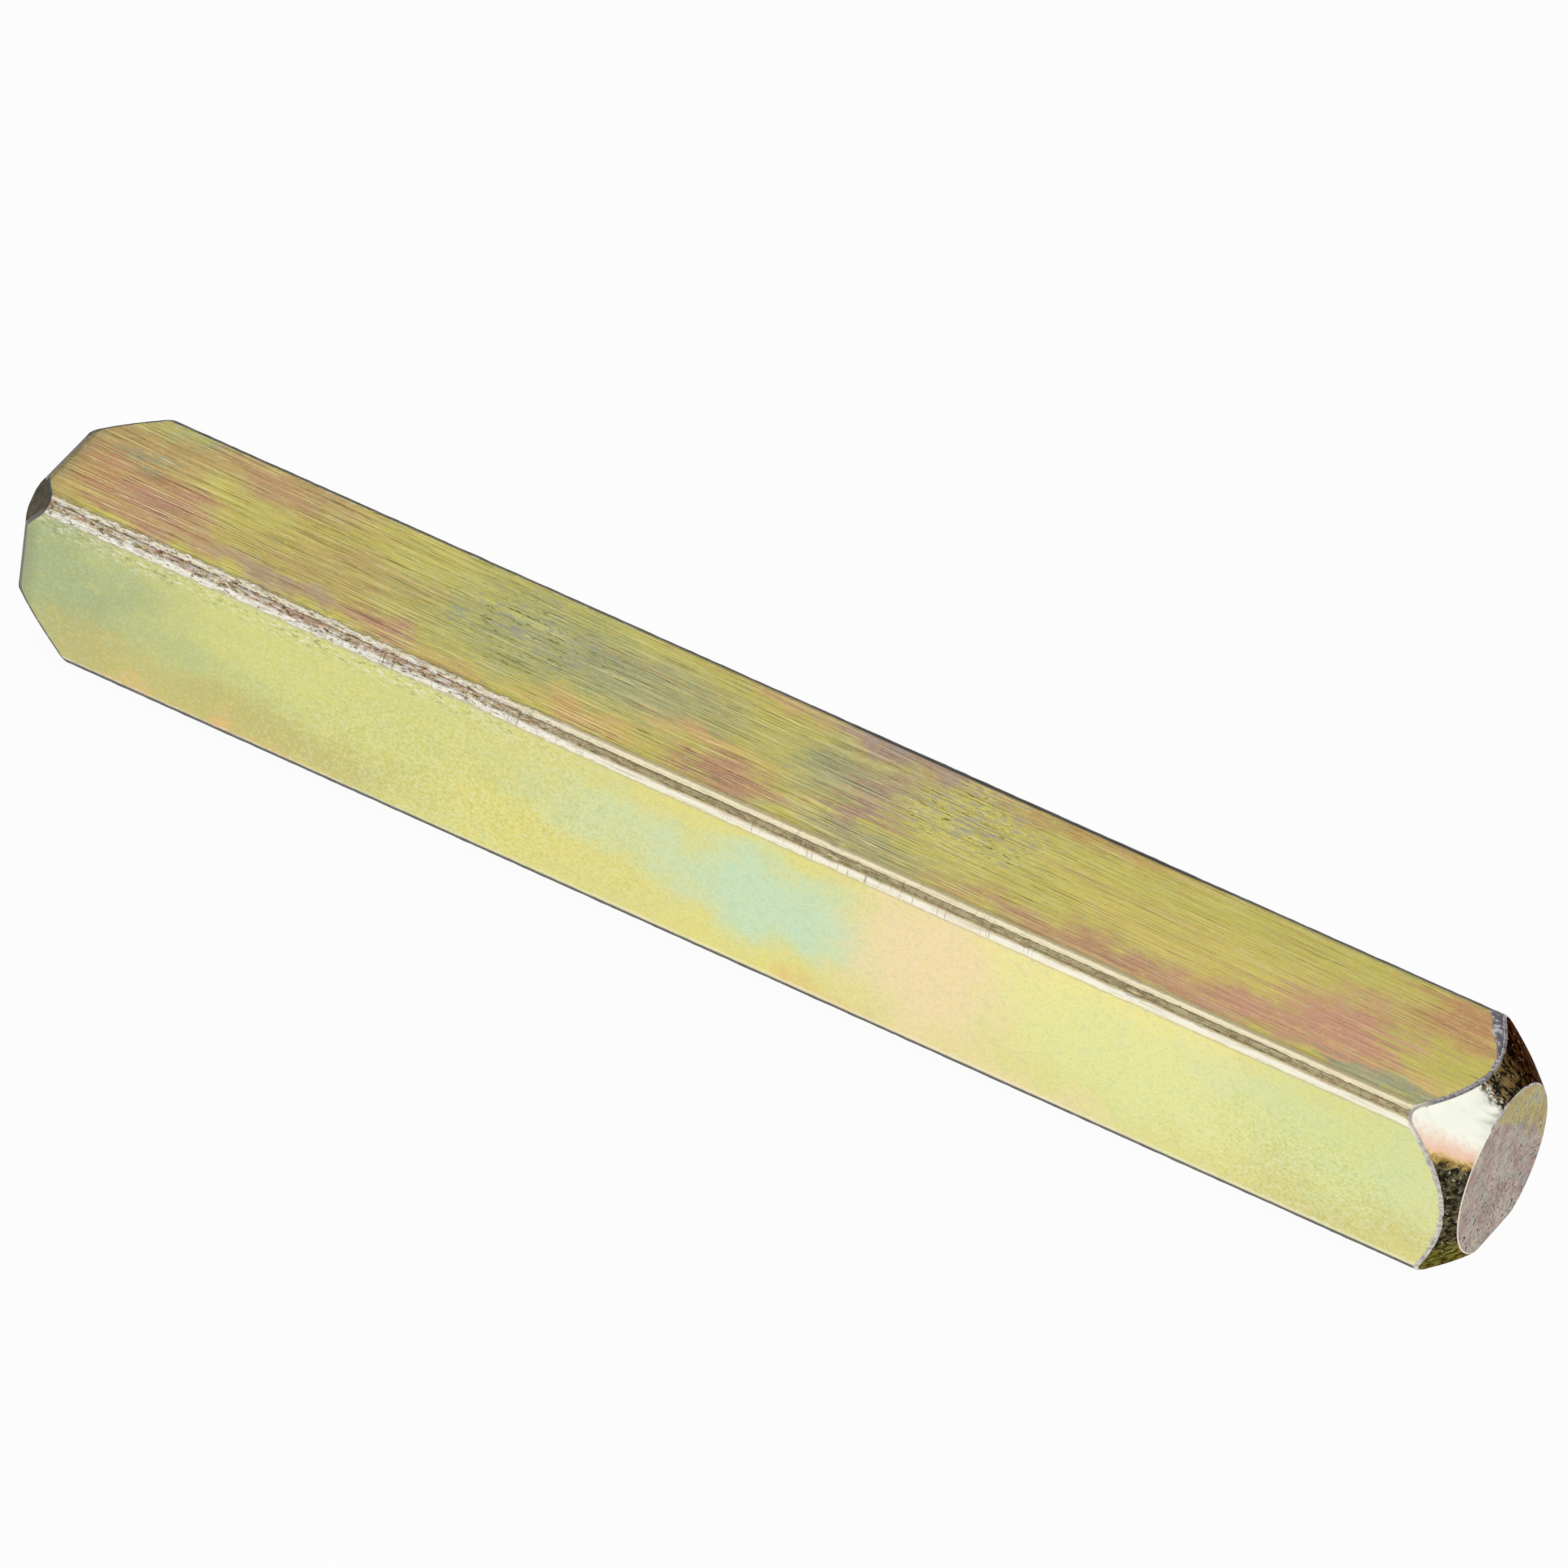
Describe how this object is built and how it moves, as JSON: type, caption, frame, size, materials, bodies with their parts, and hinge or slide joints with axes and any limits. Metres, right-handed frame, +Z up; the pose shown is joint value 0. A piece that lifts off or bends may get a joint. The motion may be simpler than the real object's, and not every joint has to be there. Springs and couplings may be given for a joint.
{
  "type": "door handle spindle",
  "caption": "Solid square steel bar with rounded arrises and a ground conical chamfer round each end, yellow-passivated zinc finish, that turns a door latch from its handles.",
  "frame": {"origin": "centre of the bar, midway between its end faces and on the axis of its square", "axes": "+X along the bar towards the end nearer the viewer, +Z up from the flat that it lies on, -Y towards the viewer"},
  "size_m": [0.0666, 0.008, 0.008],
  "materials": {
    "yellow_zinc_steel": "drawn steel, zinc plated and yellow passivated, satin, with pink and green iridescence"
  },
  "bodies": {
    "root": {"spindle_bar": "yellow_zinc_steel"}
  },
  "joints": []
}
